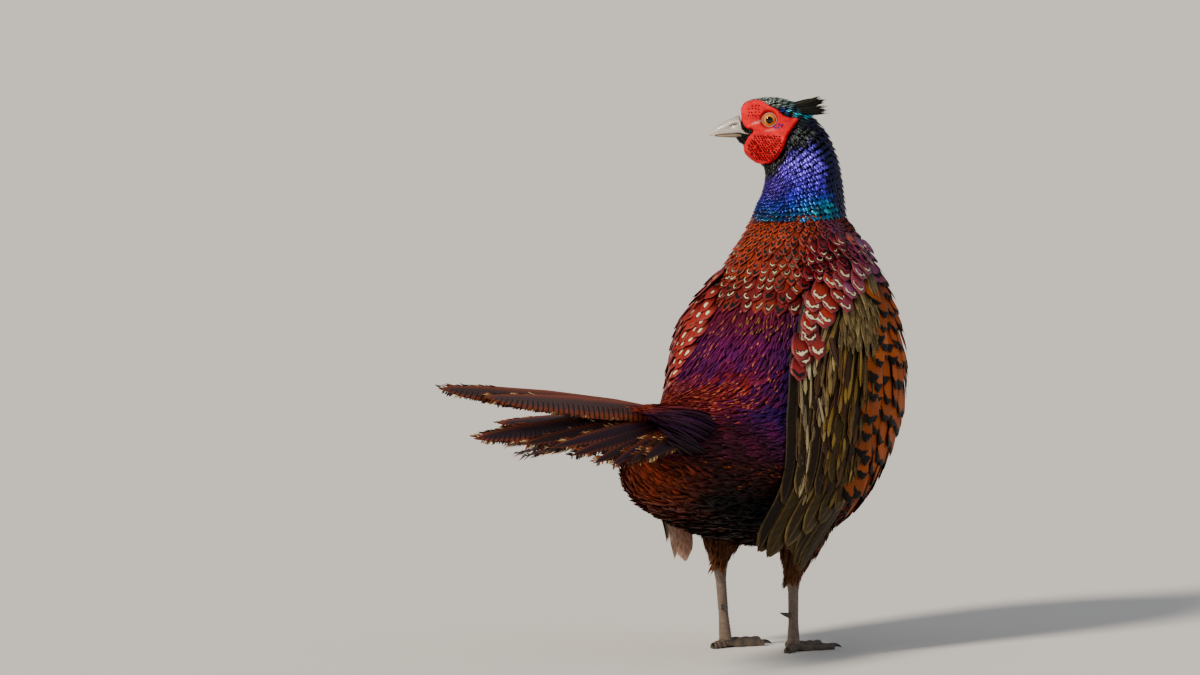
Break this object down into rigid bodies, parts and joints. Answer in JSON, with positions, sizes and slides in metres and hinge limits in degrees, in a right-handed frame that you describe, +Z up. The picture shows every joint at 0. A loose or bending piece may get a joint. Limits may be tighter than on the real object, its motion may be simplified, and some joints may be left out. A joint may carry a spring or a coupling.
{
  "type": "common pheasant",
  "caption": "Standing cock pheasant in full plumage: red face wattles, ear tufts, blue neck, copper body, drooped wings and a long graded tail, head turned back over a shoulder.",
  "frame": {"origin": "centre of the bounding box, on the floor under the bird", "axes": "+Y the way the body faces, +X the bird's own right side, +Z up; the tail points to -Y and the head looks to -X and a little back"},
  "size_m": [0.1926, 0.6672, 0.4528],
  "materials": {
    "head_plumage": "glossy green-black feathers",
    "neck_plumage": "iridescent violet and blue feathers",
    "body_plumage": "satin copper, purple and black feathers",
    "wing_plumage": "satin maroon, buff and olive-brown feathers",
    "tail_plumage": "matt brown feathers with dark bars",
    "thigh_plumage": "matt dark brown feathers",
    "wattle_skin": "matt scarlet bare skin",
    "bill_horn": "satin pale horn",
    "leg_skin": "satin scaly skin",
    "claw_horn": "satin dark horn",
    "eye": "wet gloss amber"
  },
  "bodies": {
    "root": {"bill_lower": "bill_horn", "bill_upper": "bill_horn", "claw_left_hind": "claw_horn", "claw_left_inner": "claw_horn", "claw_left_middle": "claw_horn", "claw_left_outer": "claw_horn", "claw_right_hind": "claw_horn", "claw_right_inner": "claw_horn", "claw_right_middle": "claw_horn", "claw_right_outer": "claw_horn", "ear_tuft_left": "head_plumage", "ear_tuft_right": "head_plumage", "eye_left": "eye", "eye_right": "eye", "head": "head_plumage", "neck": "neck_plumage", "shank_left": "leg_skin", "shank_right": "leg_skin", "spur_left": "claw_horn", "spur_right": "claw_horn", "tail": "tail_plumage", "thigh_left": "thigh_plumage", "thigh_right": "thigh_plumage", "torso": "body_plumage", "wattle_left": "wattle_skin", "wattle_right": "wattle_skin", "wing_left": "wing_plumage", "wing_right": "wing_plumage"}
  },
  "joints": []
}
